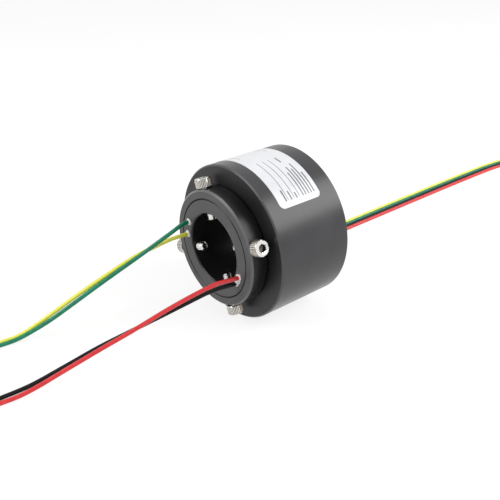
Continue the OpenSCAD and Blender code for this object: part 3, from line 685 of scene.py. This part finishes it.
BEADS = [
    # name, body, then what sealant_bead takes: circle and angle on it, sizes, face, way out, seed
    ("sealant_green", "rotor", EXIT_R, 160.0, 1.6, 1.55, 0.9, FACE_Y, -1, 3.1),
    ("sealant_yellow", "rotor", EXIT_R, 180.0, 1.6, 1.5, 0.85, FACE_Y, -1, 7.7),
    ("sealant_red_black", "rotor", EXIT_R, -25.0, 3.4, 1.55, 0.95, FACE_Y, -1, 12.4),
    ("sealant_rear", "stator", 29.6, 211.0, 5.2, 1.5, 0.8, REAR_Y, 1, 21.9),
]
for name, body, *shape in BEADS:
    bead = sealant_bead(name, *shape)
    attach(bead, body)


# ---------------------------------------------------------------- clamp screws

def screw_outline(bm, height, radius, shape, cap):
    """One closed outline of the screw, square to its axis: round, knurled or six-sided."""
    made = bmesh.ops.create_circle(bm, segments=SCREW_SIDES, radius=radius, cap_ends=cap)
    for v in made["verts"]:
        around = math.atan2(v.co.y, v.co.x)
        corner = round(around / (2 * math.pi) * SCREW_SIDES)
        if shape == "knurl" and corner % 3 == 0:
            v.co *= (radius - KNURL_DEPTH) / radius
        if shape == "socket":
            from_flat = math.fmod(around + 2 * math.pi, math.pi / 3) - math.pi / 6
            v.co *= math.cos(math.pi / 6) / math.cos(from_flat)
        v.co.z = height
    return list({e for v in made["verts"] for e in v.link_edges})


SCREW_OUTLINES = [
    # tip and shank
    (SCREW_TIP, 1.15, "round"), (SCREW_TIP + 0.35, SHANK_R, "round"), (SCREW_SEAT, SHANK_R, "round"),
    # head
    (SCREW_SEAT, 3.3, "round"), (SCREW_SEAT + 0.2, HEAD_R, "round"), (SCREW_SEAT + 0.3, HEAD_R, "knurl"),
    (SCREW_TOP - 0.65, HEAD_R, "knurl"), (SCREW_TOP - 0.5, 3.46, "round"), (SCREW_TOP - 0.2, 3.3, "round"),
    # top face and socket
    (SCREW_TOP, 3.0, "round"), (SCREW_TOP, 1.95, "round"), (SCREW_TOP - 0.15, SOCKET_R, "socket"),
    (SCREW_TOP - SOCKET_DEPTH, SOCKET_R, "socket"), (SCREW_TOP - SOCKET_DEPTH - 0.5, 0.25, "round"),
]
# section of the thread's ridge: distance from the screw's axis, and height
THREAD_RIDGE = ((1.55, -0.29), (1.96, -0.04), (1.96, 0.04), (1.55, 0.29))
SOCKET_SHADE_INDEX, KNURL_SHADE_INDEX = 1, 2


def clamp_screw(name, angle):
    """Socket head cap screw with a knurled head and a cut thread, drawn upright and then laid in its hole."""
    bm = bmesh.new()
    before = None
    for i, (height, radius, shape) in enumerate(SCREW_OUTLINES):
        edges = screw_outline(bm, height, radius, shape, cap=i in (0, len(SCREW_OUTLINES) - 1))
        if before is not None:
            bmesh.ops.bridge_loops(bm, edges=edges + before)
        before = edges
    for face in bm.faces:
        middle = face.calc_center_median()
        in_valley = any(v.co.z > SCREW_SEAT + 0.25 and v.co.xy.length < 3.4 for v in face.verts)
        # the socket's faces get the dark steel: painted shade
        if middle.z > SCREW_SEAT and middle.xy.length < SOCKET_R:
            face.material_index = SOCKET_SHADE_INDEX
        # faces in the knurl valleys get the darker steel: painted shade
        elif in_valley and middle.xy.length > 3.3:
            face.material_index = KNURL_SHADE_INDEX
    turns = int((SCREW_SEAT - 1.0 - SCREW_TIP) / THREAD_PITCH)
    corners = [bm.verts.new((out, 0, up)) for out, up in THREAD_RIDGE]
    ridge = [bm.edges.new((corners[i], corners[(i + 1) % 4])) for i in range(4)]
    bmesh.ops.translate(bm, vec=(0, 0, SCREW_TIP + 0.45), verts=corners)
    bmesh.ops.spin(bm, geom=corners + ridge, cent=(0, 0, 0), axis=(0, 0, 1),
                   dvec=(0, 0, THREAD_PITCH / THREAD_STEPS), angle=2 * math.pi * turns,
                   steps=turns * THREAD_STEPS, use_merge=False)
    bmesh.ops.holes_fill(bm, edges=[e for e in bm.edges if e.is_boundary], sides=4)
    a = math.radians(angle)
    outward = Vector((math.cos(a), 0, math.sin(a)))
    along = Vector((0, 1, 0))
    place_mesh(bm, along, outward.cross(along), outward, Vector((0, SCREW_Y, 0)))
    screw = finished(name, bm, FINISHES["screw_steel"], crease=25)
    screw.data.materials.append(FINISHES["socket_shade_steel"])
    screw.data.materials.append(FINISHES["knurl_shade_steel"])
    return screw


for i, angle in enumerate(SCREW_ANGLES):
    screw = clamp_screw("clamp_screw_%d_cut" % (i + 1), angle)
    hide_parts("clamp_screw_%d" % (i + 1))
    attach(screw, "rotor")


# ---------------------------------------------------------------- floor, backdrop and light

FLOOR_HALF_SIZE = 4.0
FLOOR_GAP = 0.02 * MM
FLOOR_GLOW = 0.79
WORLD_LEVEL = 0.42


def seen_directly(tree):
    """One where the camera, a mirror or glass looks, and zero for the light that falls on the object."""
    seen = add_node(tree, "ShaderNodeLightPath").outputs
    mirrored = maths(tree, "MAXIMUM", seen["Is Camera Ray"], seen["Is Glossy Ray"])
    return maths(tree, "MAXIMUM", mirrored, seen["Is Transmission Ray"])


def studio_floor():
    material, tree, surface = bare_material("studio_floor")
    plain = add_node(tree, "ShaderNodeBsdfDiffuse")
    plain.inputs["Color"].default_value = (0.80, 0.80, 0.80, 1)
    soft = add_node(tree, "ShaderNodeBsdfDiffuse")
    soft.inputs["Color"].default_value = (0.30, 0.30, 0.30, 1)
    glow = add_node(tree, "ShaderNodeEmission")
    glow.inputs["Color"].default_value = (1, 1, 1, 1)
    glow.inputs["Strength"].default_value = FLOOR_GLOW
    both = add_node(tree, "ShaderNodeAddShader")
    tree.links.new(soft.outputs[0], both.inputs[0])
    tree.links.new(glow.outputs[0], both.inputs[1])
    choose = add_node(tree, "ShaderNodeMixShader")
    tree.links.new(seen_directly(tree), choose.inputs[0])
    tree.links.new(plain.outputs[0], choose.inputs[1])
    tree.links.new(both.outputs[0], choose.inputs[2])
    tree.links.new(choose.outputs[0], surface)

    bm = bmesh.new()
    bmesh.ops.create_grid(bm, x_segments=1, y_segments=1, size=FLOOR_HALF_SIZE)
    bmesh.ops.translate(bm, vec=(0, 0, FLOOR_Z * MM - FLOOR_GAP), verts=bm.verts)
    mesh = bpy.data.meshes.new("floor")
    bm.to_mesh(mesh)
    bm.free()
    mesh.materials.append(material)
    floor = bpy.data.objects.new("floor", mesh)
    bpy.context.scene.collection.objects.link(floor)


def studio_world():
    world = bpy.data.worlds.new("studio")
    bpy.context.scene.world = world
    world.use_nodes = True
    tree = world.node_tree
    back = tree.nodes["Background"]
    back.inputs["Color"].default_value = (1, 1, 1, 1)
    back.inputs["Strength"].default_value = WORLD_LEVEL
    white = add_node(tree, "ShaderNodeBackground")
    white.inputs["Color"].default_value = (1, 1, 1, 1)
    white.inputs["Strength"].default_value = 1.0
    choose = add_node(tree, "ShaderNodeMixShader")
    tree.links.new(seen_directly(tree), choose.inputs[0])
    tree.links.new(back.outputs[0], choose.inputs[1])
    tree.links.new(white.outputs[0], choose.inputs[2])
    tree.links.new(choose.outputs[0], tree.nodes["World Output"].inputs["Surface"])


def softbox(name, place, width, height, power):
    """A soft lamp that looks at the origin."""
    data = bpy.data.lights.new(name, "AREA")
    data.shape = "RECTANGLE"
    data.size, data.size_y = width, height
    data.energy = power
    lamp = bpy.data.objects.new(name, data)
    bpy.context.scene.collection.objects.link(lamp)
    lamp.location = Vector(place)
    lamp.rotation_euler = (-Vector(place)).to_track_quat("-Z", "Y").to_euler()


studio_floor()
studio_world()
softbox("key", (0.46, 0.42, 0.46), 0.6, 0.45, 4.1)
softbox("fill", (-0.25, -0.55, 0.40), 0.5, 0.4, 2.4)
bpy.context.scene.view_settings.view_transform = "Standard"
